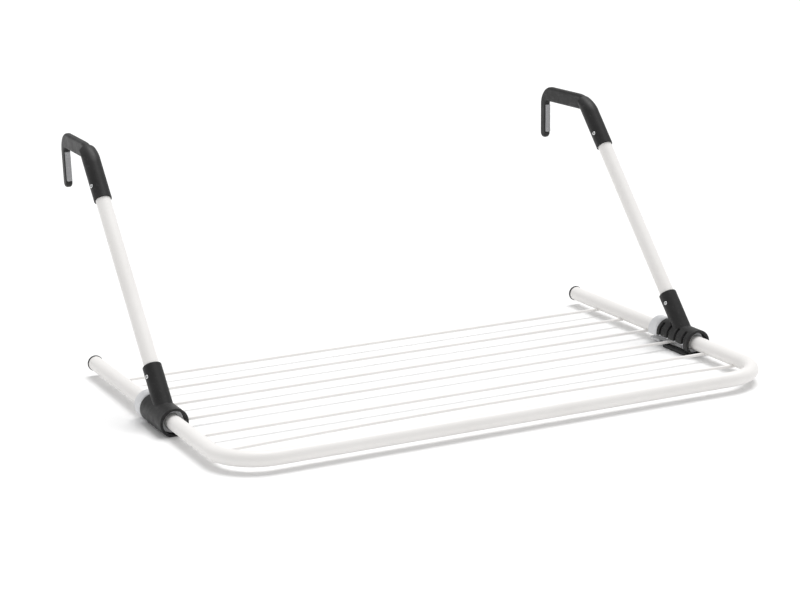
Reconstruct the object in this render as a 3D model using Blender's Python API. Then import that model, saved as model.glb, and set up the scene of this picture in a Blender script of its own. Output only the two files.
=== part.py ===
"""Hanging drying rack: a bent tube frame with six wires and two folding arms that end in hooks.

Metres, +Z up. The frame lies level, its open back towards +Y. X is across the rack.
The base of the two sleeves is at z = 0, and the origin is the middle of the whole rack in X and Y.
Each arm slides along its side tube with its bush, and folds inwards about the side tube's axis.
"""

import math
from collections import namedtuple

import bmesh
import bpy
from mathutils import Euler, Matrix, Vector

# Frame
TUBE_SPACING = 0.680
TUBE_RADIUS = 0.009
TUBE_WALL = 0.0010
FRAME_DEPTH = 0.454
CORNER_RADIUS = 0.054
CORNER_STEPS = 8

# Wires
WIRE_RADIUS = 0.0019
WIRE_DROP = 0.0063
FIRST_WIRE = 0.072
WIRE_SPAN = 0.3175
WIRE_SHARES = (0.0, 0.19, 0.392, 0.586, 0.803, 1.0)
INDEX_WIRE = 3
FRONT_WIRE_BOW = 0.004
WIRE_END_INSET = 0.0042
WIRE_HOLE_CLEARANCE = 0.0003

# End caps
CAP_RIM_RADIUS = 0.0098
CAP_THICKNESS = 0.0030
CAP_ROUNDING = 0.0010
CAP_SPIGOT_LENGTH = 0.014

# Fits
GAP = 0.0003

# Bush
BUSH_RADIUS = 0.0135
BUSH_SLIT = 0.0048
COLLAR_LENGTH = 0.020
COLLAR_ROUNDING = 0.0020

# Tee sleeve
SLEEVE_RADIUS = 0.017
SLEEVE_LENGTH = 0.070
SLEEVE_ROUNDING = 0.0009
MOUTH_RECESS = 0.009
SLOT_COUNT = 4
SLOT_PITCH = 0.0170
SLOT_WIDTH = 0.0046
BACK_FINGER = 0.0082
LEFT_SLOT_ON_WIRE = 3
RIGHT_SLOT_ON_WIRE = 2
SLOT_TOP_ANGLE = 57.5
SLOT_REACH = 0.0045
WINDOW_TOP_ANGLE = -5.0
FOOT_DROP = 0.0155
FOOT_WIDTH = 0.0155
FOOT_HEIGHT = 0.0040

# Arm
ARM_LEAN = 42.1
ARM_TOE_IN = 0.5
ARM_TWIST = 2.0
ARM_BASE = 0.0442
TEE_SOCKET_RADIUS = 0.0112
TEE_SOCKET_TOP = 0.066
TEE_SOCKET_FLOOR = 0.030
HOOK_SOCKET_RADIUS = 0.0108
HOOK_SOCKET_START = 0.290
HOOK_SOCKET_FLOOR = 0.326
SOCKET_ROUNDING = 0.0008

# Hook
HOOK_GRIP_WIDTH = 0.0925
HOOK_UNDERSIDE = 0.2558
HOOK_THICKNESS = 0.0198
HOOK_SLAB_WIDTH = 0.0090
HOOK_BEND_RADIUS = 0.056
HOOK_BACK_RADIUS = 0.025
HOOK_INNER_RADIUS = 0.0040
LIP_THICKNESS = 0.0135
LIP_LENGTH = 0.0505
HOOK_EDGE_ROUNDING = 0.0010
CROWN_RADIUS = 0.0118
TONGUE_INSET = 0.002
TONGUE_LENGTH = 0.008

# Pad
PAD_WIDTH = 0.0063
PAD_PROUD = 0.0020
PAD_SEAT = 0.0020
PAD_TOP_GAP = 0.0050
PAD_BOTTOM_GAP = 0.0085

# Rivets
RIVET_SHANK_RADIUS = 0.0014
RIVET_HEAD_RADIUS = 0.0024
RIVET_HEAD_HEIGHT = 0.0008
RIVET_DIMPLE_RADIUS = 0.0010
RIVET_DIMPLE_DEPTH = 0.0030
RIVET_TURN = 20.0
LOWER_RIVET = 0.0515
UPPER_RIVET = 0.3085

ROUND_STEPS = 32
SMALL_STEPS = 16

# Derived positions
HALF_SPACING = TUBE_SPACING / 2
AXIS_HEIGHT = FOOT_DROP
INDEX_WIRE_Y = -(FIRST_WIRE + WIRE_SPAN * WIRE_SHARES[INDEX_WIRE])
LEFT_BACK = INDEX_WIRE_Y + (LEFT_SLOT_ON_WIRE - 1) * SLOT_PITCH + BACK_FINGER
RIGHT_BACK = INDEX_WIRE_Y + (RIGHT_SLOT_ON_WIRE - 1) * SLOT_PITCH + BACK_FINGER
ARM_SIN = math.sin(math.radians(ARM_LEAN))
ARM_COS = math.cos(math.radians(ARM_LEAN))
HOOK_TOP = HOOK_UNDERSIDE + HOOK_THICKNESS
HOOK_CORNER_Y = (HOOK_UNDERSIDE * ARM_SIN + HOOK_SOCKET_RADIUS) / ARM_COS
LIP_FACE_Y = HOOK_CORNER_Y + HOOK_GRIP_WIDTH
HOOK_BACK_Y = LIP_FACE_Y + LIP_THICKNESS
LIP_TIP_Z = HOOK_UNDERSIDE - LIP_LENGTH
REARMOST = max(LEFT_BACK, RIGHT_BACK) - ARM_BASE + HOOK_BACK_Y
Y_SHIFT = (FRAME_DEPTH + TUBE_RADIUS - REARMOST) / 2

Side = namedtuple("Side", "word sign arm_y")
LEFT = Side("left", -1, LEFT_BACK - ARM_BASE)
RIGHT = Side("right", 1, RIGHT_BACK - ARM_BASE)

COLLECTION = bpy.data.collections.new("hanging_drying_rack")
CUTTERS = bpy.data.collections.new("cutters")
NO_TURN = Euler((0.0, 0.0, 0.0))


# Scene, materials and placing


def clear_scene():
    for obj in list(bpy.data.objects):
        bpy.data.objects.remove(obj, do_unlink=True)
    bpy.context.scene.collection.children.link(COLLECTION)
    bpy.context.scene.collection.children.link(CUTTERS)
    CUTTERS.hide_render = True


def material(name, colour, roughness, metallic=0.0):
    found = bpy.data.materials.get(name)
    if found:
        return found
    made = bpy.data.materials.new(name)
    made.use_nodes = True
    shader = made.node_tree.nodes["Principled BSDF"]
    shader.inputs["Base Color"].default_value = (*colour, 1.0)
    shader.inputs["Roughness"].default_value = roughness
    shader.inputs["Metallic"].default_value = metallic
    made.diffuse_color = (*colour, 1.0)
    return made


def powder_coat():
    return material("powder_coat", (0.83, 0.81, 0.77), 0.38)


def dark_plastic():
    return material("dark_plastic", (0.055, 0.055, 0.057), 0.5)


def light_plastic():
    return material("light_plastic", (0.50, 0.50, 0.53), 0.5)


def pad_rubber():
    return material("pad_rubber", (0.33, 0.33, 0.34), 0.7)


def cap_plastic():
    return material("cap_plastic", (0.020, 0.020, 0.021), 0.45)


def rivet_steel():
    return material("rivet_steel", (0.75, 0.75, 0.75), 0.3, 1.0)


def root_place():
    return Vector((0.0, Y_SHIFT, AXIS_HEIGHT))


def tube_end_place(side):
    return Vector((side.sign * HALF_SPACING, Y_SHIFT, AXIS_HEIGHT))


def arm_place(side):
    """Where the arm's own axis meets the side tube's axis."""
    return Vector((side.sign * HALF_SPACING, Y_SHIFT + side.arm_y, AXIS_HEIGHT))


def lean_in(side):
    """The arm stands a little inwards of upright."""
    return Euler((0.0, -side.sign * math.radians(ARM_TOE_IN), 0.0))


def turned_about_arm(side, degrees):
    """The lean inwards, after a turn about the arm's own axis."""
    turn = Matrix.Rotation(math.radians(degrees), 4, Vector((0.0, ARM_SIN, ARM_COS)))
    return (lean_in(side).to_matrix().to_4x4() @ turn).to_euler()


def hook_turn(side):
    """The hooks point a little inwards."""
    return turned_about_arm(side, side.sign * ARM_TWIST)


def rivet_turn(side):
    """Both arms have their rivets turned the same way, not mirrored."""
    return turned_about_arm(side, RIVET_TURN)


def add_object(name, mesh_data, place, collection=COLLECTION, turn=NO_TURN):
    obj = bpy.data.objects.new(name, mesh_data)
    obj.location = place
    obj.rotation_euler = turn
    collection.objects.link(obj)
    return obj


def add_cutter(name, mesh_data, place, turn=NO_TURN):
    obj = add_object(name, mesh_data, place, CUTTERS, turn)
    obj.display_type = "WIRE"
    obj.hide_render = True
    return obj


def boolean(obj, other, operation):
    modifier = obj.modifiers.new(operation.lower() + "_" + other.name, "BOOLEAN")
    modifier.operation = operation
    modifier.solver = "EXACT"
    modifier.object = other


def smooth(mesh_data, angle=40.0):
    mesh_data.shade_smooth()
    mesh_data.set_sharp_from_angle(angle=math.radians(angle))


# Shapes


def mesh_from(name, bm):
    bmesh.ops.recalc_face_normals(bm, faces=bm.faces)
    data = bpy.data.meshes.new(name)
    bm.to_mesh(data)
    bm.free()
    smooth(data)
    return data


def turned(name, profile, steps, ring=False, matrix=None):
    """A body turned about the local Z axis from (radius, height) points, hollow when ring is true."""
    bm = bmesh.new()
    verts = [bm.verts.new((radius, 0.0, height)) for radius, height in profile]
    edges = [bm.edges.new(pair) for pair in zip(verts, verts[1:])]
    if ring:
        edges.append(bm.edges.new((verts[-1], verts[0])))
    bmesh.ops.spin(
        bm,
        geom=verts + edges,
        cent=(0.0, 0.0, 0.0),
        axis=(0.0, 0.0, 1.0),
        angle=2 * math.pi,
        steps=steps,
        use_merge=True,
    )
    if not ring:
        bmesh.ops.holes_fill(bm, edges=[edge for edge in bm.edges if edge.is_boundary])
    if matrix is not None:
        bmesh.ops.transform(bm, matrix=matrix, verts=bm.verts)
    return mesh_from(name, bm)


def box(name, low, high, edge=0.0, steps=2):
    bm = bmesh.new()
    middle = [(a + b) / 2 for a, b in zip(low, high)]
    size = [b - a for a, b in zip(low, high)]
    place = Matrix.Translation(middle) @ Matrix.Diagonal((*size, 1.0))
    bmesh.ops.create_cube(bm, size=1.0, matrix=place)
    if edge:
        bmesh.ops.bevel(bm, geom=bm.edges[:], offset=edge, segments=steps, profile=0.5, affect="EDGES", material=-1)
    return mesh_from(name, bm)


def prism(name, outline, axis, low, high, edge=0.0):
    """A closed outline of (across, up) points, drawn out along X or Y."""
    bm = bmesh.new()
    if axis == "X":
        verts = [bm.verts.new((low, a, b)) for a, b in outline]
        travel = Vector((high - low, 0.0, 0.0))
    else:
        verts = [bm.verts.new((a, low, b)) for a, b in outline]
        travel = Vector((0.0, high - low, 0.0))
    face = bm.faces.new(verts)
    drawn = bmesh.ops.extrude_face_region(bm, geom=[face])
    moved = [item for item in drawn["geom"] if isinstance(item, bmesh.types.BMVert)]
    bmesh.ops.translate(bm, vec=travel, verts=moved)
    if edge:
        bmesh.ops.recalc_face_normals(bm, faces=bm.faces)
        rims = [e for e in bm.edges if len(e.link_faces) == 2 and max(len(f.verts) for f in e.link_faces) > 4]
        bmesh.ops.bevel(bm, geom=rims, offset=edge, segments=2, profile=0.5, affect="EDGES", material=-1)
    return mesh_from(name, bm)


def swept(name, points, radius, steps):
    """A round bar along a line of points, with closed ends."""
    curve = bpy.data.curves.new(name + "_line", "CURVE")
    curve.dimensions = "3D"
    curve.bevel_depth = radius
    curve.bevel_resolution = steps // 4 - 1
    curve.use_fill_caps = True
    spline = curve.splines.new("POLY")
    spline.points.add(len(points) - 1)
    for spot, point in zip(spline.points, points):
        spot.co = (*point, 1.0)
    holder = bpy.data.objects.new(name + "_line", curve)
    bpy.context.scene.collection.objects.link(holder)
    bpy.context.view_layer.update()
    evaluated = holder.evaluated_get(bpy.context.evaluated_depsgraph_get())
    data = bpy.data.meshes.new_from_object(evaluated)
    bpy.data.objects.remove(holder, do_unlink=True)
    bm = bmesh.new()
    bm.from_mesh(data)
    bmesh.ops.remove_doubles(bm, verts=bm.verts, dist=0.00002)
    return mesh_from(name, bm)


def arc(centre, radius, start, end, steps):
    """Points on an arc, in degrees from the first axis towards the second."""
    found = []
    for i in range(steps + 1):
        angle = math.radians(start + (end - start) * i / steps)
        found.append((centre[0] + radius * math.cos(angle), centre[1] + radius * math.sin(angle)))
    return found


def along_y(front):
    """Turns local Z to -Y, starting at y = front."""
    return Matrix.Translation((0.0, front, 0.0)) @ Matrix.Rotation(math.radians(90.0), 4, "X")


def along_arm(start=0.0):
    """Turns local Z to the arm's axis, starting this far along it from the side tube's axis."""
    turn = Matrix.Rotation(math.radians(-ARM_LEAN), 4, "X")
    return turn @ Matrix.Translation((0.0, 0.0, start))


def arm_point(distance):
    return Vector((0.0, distance * ARM_SIN, distance * ARM_COS))


def rounded_ends(radius, start, end, rounding, steps=3):
    """Profile of a plain bar with rounded rims, from the middle of one end round to the other."""
    low = [(radius - rounding + x, start + rounding - y) for y, x in arc((0.0, 0.0), rounding, 0.0, 90.0, steps)]
    high = [(r, start + end - z) for r, z in reversed(low)]
    return low + high


# Frame


def frame_line(extra=0.0):
    front = -FRAME_DEPTH
    back = -CAP_THICKNESS - GAP + extra
    left = (-HALF_SPACING + CORNER_RADIUS, front + CORNER_RADIUS)
    right = (HALF_SPACING - CORNER_RADIUS, front + CORNER_RADIUS)
    flat = [(-HALF_SPACING, back)]
    flat += arc(left, CORNER_RADIUS, 180.0, 270.0, CORNER_STEPS)
    flat += arc(right, CORNER_RADIUS, 270.0, 360.0, CORNER_STEPS)
    flat.append((HALF_SPACING, back))
    return [(x, y, 0.0) for x, y in flat]


def wire_y(share):
    return -(FIRST_WIRE + WIRE_SPAN * share)


def make_frame_tube():
    tube = add_object("frame_tube", swept("frame_tube", frame_line(), TUBE_RADIUS, ROUND_STEPS), root_place())
    bore = swept("frame_bore", frame_line(0.001), TUBE_RADIUS - TUBE_WALL, ROUND_STEPS)
    boolean(tube, add_cutter("frame_bore", bore, root_place()), "DIFFERENCE")
    reach = HALF_SPACING - WIRE_END_INSET + GAP
    radius = WIRE_RADIUS + WIRE_HOLE_CLEARANCE
    for number, share in enumerate(WIRE_SHARES, 1):
        spot = (0.0, wire_y(share), -WIRE_DROP)
        turn = Matrix.Translation(spot) @ Matrix.Rotation(math.radians(90.0), 4, "Y")
        bar = turned("wire_hole_" + str(number), [(radius, -reach), (radius, reach)], SMALL_STEPS, matrix=turn)
        boolean(tube, add_cutter("wire_hole_" + str(number), bar, root_place()), "DIFFERENCE")
    tube.data.materials.append(powder_coat())


def make_wire(number, share, bow):
    reach = HALF_SPACING - WIRE_END_INSET
    steps = 16 if bow else 1
    points = []
    for i in range(steps + 1):
        t = 2.0 * i / steps - 1.0
        points.append((reach * t, wire_y(share), -WIRE_DROP + bow * (1.0 - t * t)))
    name = "wire_" + str(number)
    wire = add_object(name, swept(name, points, WIRE_RADIUS, SMALL_STEPS), root_place())
    wire.data.materials.append(powder_coat())


def make_wires():
    for number, share in enumerate(WIRE_SHARES, 1):
        make_wire(number, share, FRONT_WIRE_BOW if number == len(WIRE_SHARES) else 0.0)


def make_end_cap(side):
    spigot = TUBE_RADIUS - TUBE_WALL - GAP
    length = CAP_THICKNESS + CAP_SPIGOT_LENGTH
    profile = rounded_ends(CAP_RIM_RADIUS, 0.0, CAP_THICKNESS, CAP_ROUNDING)
    profile += [(spigot, CAP_THICKNESS), (spigot, length - 0.001), (spigot - 0.001, length)]
    name = "end_cap_" + side.word
    cap = add_object(name, turned(name, profile, ROUND_STEPS, matrix=along_y(0.0)), tube_end_place(side))
    cap.data.materials.append(cap_plastic())


# Bush and tee sleeve


def make_bush(side):
    name = "bush_" + side.word
    place = arm_place(side)
    bore = TUBE_RADIUS + GAP
    back = ARM_BASE + GAP + COLLAR_LENGTH
    front = ARM_BASE - SLEEVE_LENGTH + MOUTH_RECESS
    length = back - front
    collar = rounded_ends(SLEEVE_RADIUS, 0.0, COLLAR_LENGTH, COLLAR_ROUNDING)
    profile = collar + [(BUSH_RADIUS, COLLAR_LENGTH), (BUSH_RADIUS, length), (bore, length), (bore, 0.0)]
    bush = add_object(name, turned(name, profile, ROUND_STEPS, ring=True, matrix=along_y(back)), place)
    edges = sorted((-side.sign * 0.001, -side.sign * 2 * SLEEVE_RADIUS))
    low = (edges[0], front - 0.01, -WIRE_DROP - BUSH_SLIT / 2)
    high = (edges[1], back + 0.01, -WIRE_DROP + BUSH_SLIT / 2)
    boolean(bush, add_cutter(name + "_slit", box(name + "_slit", low, high), place), "DIFFERENCE")
    base = box(name + "_base", (-0.04, front - 0.01, -0.04), (0.04, back + 0.01, -FOOT_DROP))
    boolean(bush, add_cutter(name + "_base", base, place), "DIFFERENCE")
    bush.data.materials.append(light_plastic())


def slot_y(number):
    return ARM_BASE - BACK_FINGER - number * SLOT_PITCH


def slot_outline(side):
    """Wedge from the window up to the slots' tops, seen along Y, on the inner side."""
    reach = SLEEVE_RADIUS + SLOT_REACH
    rim = arc((0.0, 0.0), reach, WINDOW_TOP_ANGLE - 10.0, SLOT_TOP_ANGLE, 12)
    return [(0.0, 0.0)] + [(-side.sign * x, z) for x, z in rim]


def window_outline(side):
    slope = math.tan(math.radians(WINDOW_TOP_ANGLE))
    reach = SLEEVE_RADIUS + 2 * SLOT_REACH
    floor = -FOOT_DROP + FOOT_HEIGHT
    points = [(0.004, 0.004 * slope), (reach, reach * slope), (reach, floor), (0.004, floor)]
    return [(-side.sign * x, z) for x, z in points]


def cut_slots(sleeve, side):
    for number in range(SLOT_COUNT):
        y = slot_y(number)
        word = sleeve.name + "_slot_" + str(number + 1)
        wedge = prism(word, slot_outline(side), "Y", y - SLOT_WIDTH / 2, y + SLOT_WIDTH / 2)
        boolean(sleeve, add_cutter(word, wedge, arm_place(side)), "DIFFERENCE")
    front = slot_y(SLOT_COUNT - 1) - SLOT_WIDTH / 2 + GAP
    word = sleeve.name + "_window"
    opening = prism(word, window_outline(side), "Y", front, ARM_BASE + 0.005)
    boolean(sleeve, add_cutter(word, opening, arm_place(side)), "DIFFERENCE")


def cut_round(obj, name, radius, low, high, matrix, place, turn=NO_TURN, steps=ROUND_STEPS):
    bar = turned(name, [(radius, low), (radius, high)], steps, matrix=matrix)
    boolean(obj, add_cutter(name, bar, place, turn), "DIFFERENCE")


def make_tee_sleeve(side):
    name = "tee_sleeve_" + side.word
    place = arm_place(side)
    turn = lean_in(side)
    bore = BUSH_RADIUS + GAP
    profile = rounded_ends(SLEEVE_RADIUS, 0.0, SLEEVE_LENGTH, SLEEVE_ROUNDING)
    sleeve = add_object(name, turned(name, profile, ROUND_STEPS, matrix=along_y(ARM_BASE)), place)
    upper = rounded_ends(TEE_SOCKET_RADIUS, 0.002, TEE_SOCKET_TOP, SOCKET_ROUNDING)[4:]
    socket = turned(name + "_socket", [(TEE_SOCKET_RADIUS, 0.002)] + upper, ROUND_STEPS, matrix=along_arm())
    boolean(sleeve, add_cutter(name + "_socket", socket, place, turn), "UNION")
    sleeve_front = ARM_BASE - SLEEVE_LENGTH
    edges = sorted((0.0, -side.sign * FOOT_WIDTH))
    low = (edges[0], sleeve_front + 0.0005, -FOOT_DROP)
    high = (edges[1], slot_y(0) - SLOT_WIDTH, -FOOT_DROP + FOOT_HEIGHT)
    boolean(sleeve, add_cutter(name + "_foot", box(name + "_foot", low, high, 0.0008), place), "UNION")
    base = box(name + "_base", (-0.04, sleeve_front - 0.01, -0.04), (0.04, ARM_BASE + 0.01, -FOOT_DROP))
    boolean(sleeve, add_cutter(name + "_base", base, place), "DIFFERENCE")
    cut_round(sleeve, name + "_bore", bore, -0.01, SLEEVE_LENGTH + 0.01, along_y(ARM_BASE), place)
    well = TUBE_RADIUS + GAP
    cut_round(sleeve, name + "_well", well, TEE_SOCKET_FLOOR, TEE_SOCKET_TOP + 0.01, along_arm(), place, turn)
    cut_slots(sleeve, side)
    cut_rivet_hole(sleeve, LOWER_RIVET, side)
    sleeve.data.materials.append(dark_plastic())


# Arm and rivets


def across_arm(distance):
    """Turns local Z to X, at this distance along the arm."""
    return Matrix.Translation(arm_point(distance)) @ Matrix.Rotation(math.radians(90.0), 4, "Y")


def cut_rivet_hole(obj, distance, side):
    radius = RIVET_SHANK_RADIUS + GAP
    word = obj.name + "_rivet_hole_" + str(round(distance * 1000))
    place = arm_place(side)
    cut_round(obj, word, radius, -0.02, 0.02, across_arm(distance), place, rivet_turn(side), SMALL_STEPS)


def make_arm_tube(side):
    name = "arm_tube_" + side.word
    start = TEE_SOCKET_FLOOR + GAP
    end = HOOK_SOCKET_FLOOR - GAP
    bore = TUBE_RADIUS - TUBE_WALL
    profile = [(TUBE_RADIUS, start), (TUBE_RADIUS, end), (bore, end), (bore, start)]
    mesh_data = turned(name, profile, ROUND_STEPS, ring=True, matrix=along_arm())
    tube = add_object(name, mesh_data, arm_place(side), turn=lean_in(side))
    cut_rivet_hole(tube, LOWER_RIVET, side)
    cut_rivet_hole(tube, UPPER_RIVET, side)
    tube.data.materials.append(powder_coat())


def rivet_profile(socket_radius):
    """Half of a tubular rivet with a domed head and a hollow end, from the shank's middle outwards."""
    seat = socket_radius + GAP
    top = seat + RIVET_HEAD_HEIGHT
    shoulder = RIVET_HEAD_RADIUS - 0.0004
    return [
        (RIVET_SHANK_RADIUS, 0.0),
        (RIVET_SHANK_RADIUS, seat),
        (RIVET_HEAD_RADIUS, seat),
        (RIVET_HEAD_RADIUS, seat + 0.4 * RIVET_HEAD_HEIGHT),
        (shoulder, top),
        (RIVET_DIMPLE_RADIUS + 0.0003, top),
        (RIVET_DIMPLE_RADIUS, top - 0.0003),
        (RIVET_DIMPLE_RADIUS, top - RIVET_DIMPLE_DEPTH),
    ]


def make_rivet(side, level, distance, socket_radius):
    name = level + "_rivet_" + side.word
    half = rivet_profile(socket_radius)
    profile = [(r, -z) for r, z in reversed(half)] + half[1:]
    mesh_data = turned(name, profile, SMALL_STEPS, matrix=across_arm(distance))
    rivet = add_object(name, mesh_data, arm_place(side), turn=rivet_turn(side))
    rivet.data.materials.append(rivet_steel())


# Hook and pad


def bend_centre():
    """Middle of the arc that rounds the hook's outer front corner."""
    tangent = HOOK_BEND_RADIUS * math.tan(math.radians((90.0 - ARM_LEAN) / 2))
    crest = (HOOK_TOP * ARM_SIN - HOOK_SOCKET_RADIUS) / ARM_COS
    return (crest + tangent, HOOK_TOP - HOOK_BEND_RADIUS)


def bend_height(y):
    centre = bend_centre()
    return centre[1] + math.sqrt(HOOK_BEND_RADIUS**2 - (y - centre[0]) ** 2)


def hook_outline():
    """Side outline of the flat part of the hook as (y, z), with a tongue that runs into the solid socket."""
    ridge = HOOK_CORNER_Y - GAP
    crown = bend_height(ridge)
    centre = bend_centre()
    start = math.degrees(math.atan2(crown - centre[1], ridge - centre[0]))
    back_round = (HOOK_BACK_Y - HOOK_BACK_RADIUS, HOOK_TOP - HOOK_BACK_RADIUS)
    tip = (HOOK_BACK_Y - LIP_THICKNESS / 2, LIP_TIP_Z + LIP_THICKNESS / 2)
    inner = (LIP_FACE_Y - HOOK_INNER_RADIUS, HOOK_UNDERSIDE - HOOK_INNER_RADIUS)
    points = arc(centre, HOOK_BEND_RADIUS, start, 90.0, 3)
    points += arc(back_round, HOOK_BACK_RADIUS, 90.0, 0.0, 8)
    points += arc(tip, LIP_THICKNESS / 2, 0.0, -180.0, 8)
    points += arc(inner, HOOK_INNER_RADIUS, 0.0, 90.0, 3)
    points.append((ridge, HOOK_UNDERSIDE))
    points.append((ridge, HOOK_UNDERSIDE + TONGUE_INSET))
    points.append((ridge - TONGUE_LENGTH, HOOK_UNDERSIDE + 2 * TONGUE_INSET))
    points.append((ridge - TONGUE_LENGTH, crown - 3 * TONGUE_INSET))
    points.append((ridge, crown - TONGUE_INSET))
    return points


def bend_bar(name):
    """A fat round bar whose outer side follows the bend. What it shares with the socket is the socket's crown."""
    inset = CROWN_RADIUS - HOOK_SOCKET_RADIUS
    start = arm_point(HOOK_SOCKET_START - 0.004)
    line = [(start.y + inset * ARM_COS, start.z - inset * ARM_SIN)]
    line += arc(bend_centre(), HOOK_BEND_RADIUS - CROWN_RADIUS, 180.0 - ARM_LEAN, 90.0, 8)
    line.append((HOOK_CORNER_Y + 0.030, HOOK_TOP - CROWN_RADIUS))
    return swept(name, [(0.0, y, z) for y, z in line], CROWN_RADIUS, ROUND_STEPS)


def make_hook(side):
    name = "hook_" + side.word
    place = arm_place(side)
    turn = hook_turn(side)
    half = HOOK_SLAB_WIDTH / 2
    slab = prism(name, hook_outline(), "X", -half, half, HOOK_EDGE_ROUNDING)
    hook = add_object(name, slab, place, turn=turn)
    socket_end = HOOK_CORNER_Y / ARM_SIN + 2 * HOOK_SOCKET_RADIUS
    rim = rounded_ends(HOOK_SOCKET_RADIUS, HOOK_SOCKET_START, socket_end, SOCKET_ROUNDING)[:4]
    socket = turned(name + "_socket", rim + [(HOOK_SOCKET_RADIUS, socket_end)], ROUND_STEPS, matrix=along_arm())
    socket_obj = add_cutter(name + "_socket", socket, place, turn)
    boolean(socket_obj, add_cutter(name + "_crown", bend_bar(name + "_crown"), place, turn), "INTERSECT")
    beyond = box(name + "_beyond", (-0.03, HOOK_CORNER_Y, 0.15), (0.03, HOOK_CORNER_Y + 0.06, 0.35))
    boolean(socket_obj, add_cutter(name + "_beyond", beyond, place, turn), "DIFFERENCE")
    boolean(hook, socket_obj, "UNION")
    well = TUBE_RADIUS + GAP
    low = HOOK_SOCKET_START - 0.01
    cut_round(hook, name + "_well", well, low, HOOK_SOCKET_FLOOR, along_arm(), place, turn)
    seat_half = PAD_WIDTH / 2 + GAP
    low = (-seat_half, LIP_FACE_Y - 0.003, LIP_TIP_Z + PAD_BOTTOM_GAP - GAP)
    high = (seat_half, LIP_FACE_Y + PAD_SEAT, HOOK_UNDERSIDE - PAD_TOP_GAP + GAP)
    boolean(hook, add_cutter(name + "_seat", box(name + "_seat", low, high), place, turn), "DIFFERENCE")
    cut_rivet_hole(hook, UPPER_RIVET, side)
    hook.data.materials.append(dark_plastic())


def make_pad(side):
    name = "hook_pad_" + side.word
    half = PAD_WIDTH / 2
    low = (-half, LIP_FACE_Y - PAD_PROUD, LIP_TIP_Z + PAD_BOTTOM_GAP)
    high = (half, LIP_FACE_Y + PAD_SEAT - GAP, HOOK_UNDERSIDE - PAD_TOP_GAP)
    pad = add_object(name, box(name, low, high, 0.0006), arm_place(side), turn=hook_turn(side))
    pad.data.materials.append(pad_rubber())


# Assembly

clear_scene()
make_frame_tube()
make_wires()
for side in (LEFT, RIGHT):
    make_end_cap(side)
    make_bush(side)
    make_tee_sleeve(side)
    make_arm_tube(side)
    make_hook(side)
    make_pad(side)
    make_rivet(side, "lower", LOWER_RIVET, TEE_SOCKET_RADIUS)
    make_rivet(side, "upper", UPPER_RIVET, HOOK_SOCKET_RADIUS)
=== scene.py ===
# %% [markdown]
# # A drying rack that hangs by two hooks
# The rack is one bent steel tube with six thin wires across it. Two arms stand up from the side tubes and
# end in plastic hooks, which go over a door, a bath or a rail. Each arm is held by a plastic sleeve that
# turns and slides on its side tube, so the arms fold in over the wires for storage. Every piece below is a
# finer copy that stands for one of them and rides on the same moving body. The box round the solids is
# kept.

import math

import bmesh
import bpy
from mathutils import Matrix, Vector


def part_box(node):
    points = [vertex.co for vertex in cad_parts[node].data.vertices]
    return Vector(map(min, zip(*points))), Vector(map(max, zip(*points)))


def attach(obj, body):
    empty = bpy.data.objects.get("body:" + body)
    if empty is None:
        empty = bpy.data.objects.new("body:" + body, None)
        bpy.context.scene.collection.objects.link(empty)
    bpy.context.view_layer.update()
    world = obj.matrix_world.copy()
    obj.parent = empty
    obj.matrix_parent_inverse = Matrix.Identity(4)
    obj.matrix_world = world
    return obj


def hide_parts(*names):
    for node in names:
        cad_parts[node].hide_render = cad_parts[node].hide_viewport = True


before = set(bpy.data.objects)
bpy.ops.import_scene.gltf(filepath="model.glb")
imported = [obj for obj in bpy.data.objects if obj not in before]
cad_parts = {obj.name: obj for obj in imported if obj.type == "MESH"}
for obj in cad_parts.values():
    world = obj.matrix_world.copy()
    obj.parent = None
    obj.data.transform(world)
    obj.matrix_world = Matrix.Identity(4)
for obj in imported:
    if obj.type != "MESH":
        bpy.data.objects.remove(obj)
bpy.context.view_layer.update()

# %% [markdown]
# ## Where the pieces are
# Three places serve for everything: the middle of the frame's open back, and the point on each side tube
# where the arm's own axis crosses it. They are read from the boxes of the solids, so they can't drift apart
# from them. Each arm leans back by 42.1 degrees and stands half a degree inwards. The hook is turned two
# degrees more about the arm, as on a real rack, where the rivet holes never line up perfectly.

# %% Places and leans
MILLIMETRE = 0.001
GAP = 0.3 * MILLIMETRE
HALF_SPACING = 0.340
AXIS_HEIGHT = 0.0155
SLEEVE_BACK = 0.0442
COLLAR_LENGTH = 0.020
ARM_LEAN = math.radians(42.1)
LEAN_INWARDS = math.radians(0.5)
HOOK_TWIST = math.radians(2.0)
RIVET_TURN = math.radians(20.0)
SIDES = {"left": -1.0, "right": 1.0}

back_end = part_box("end_cap_left")[1].y
frame_place = Matrix.Translation((0.0, back_end, AXIS_HEIGHT))


def hinge_place(side):
    """Puts the origin where the arm's axis crosses the side tube's axis."""
    collar_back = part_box("bush_" + side)[1].y
    spot = (SIDES[side] * HALF_SPACING, collar_back - SLEEVE_BACK - GAP - COLLAR_LENGTH, AXIS_HEIGHT)
    return Matrix.Translation(spot)


def inward_lean(side):
    return Matrix.Rotation(-SIDES[side] * LEAN_INWARDS, 4, "Y")


def about_the_arm(angle):
    return Matrix.Rotation(angle, 4, Vector((0.0, math.sin(ARM_LEAN), math.cos(ARM_LEAN))))


def hook_twist(side):
    return about_the_arm(SIDES[side] * HOOK_TWIST)


def rivet_turn():
    """Both arms have their rivets turned the same way, not mirrored."""
    return about_the_arm(RIVET_TURN)


def up_the_arm():
    """Turns the Z axis to the arm's axis."""
    return Matrix.Rotation(-ARM_LEAN, 4, "X")


def point_on_arm(distance):
    return Vector((0.0, distance * math.sin(ARM_LEAN), distance * math.cos(ARM_LEAN)))


print("back end of the frame at y =", round(back_end, 4))
print("left hinge", hinge_place("left").translation, "right hinge", hinge_place("right").translation)

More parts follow.
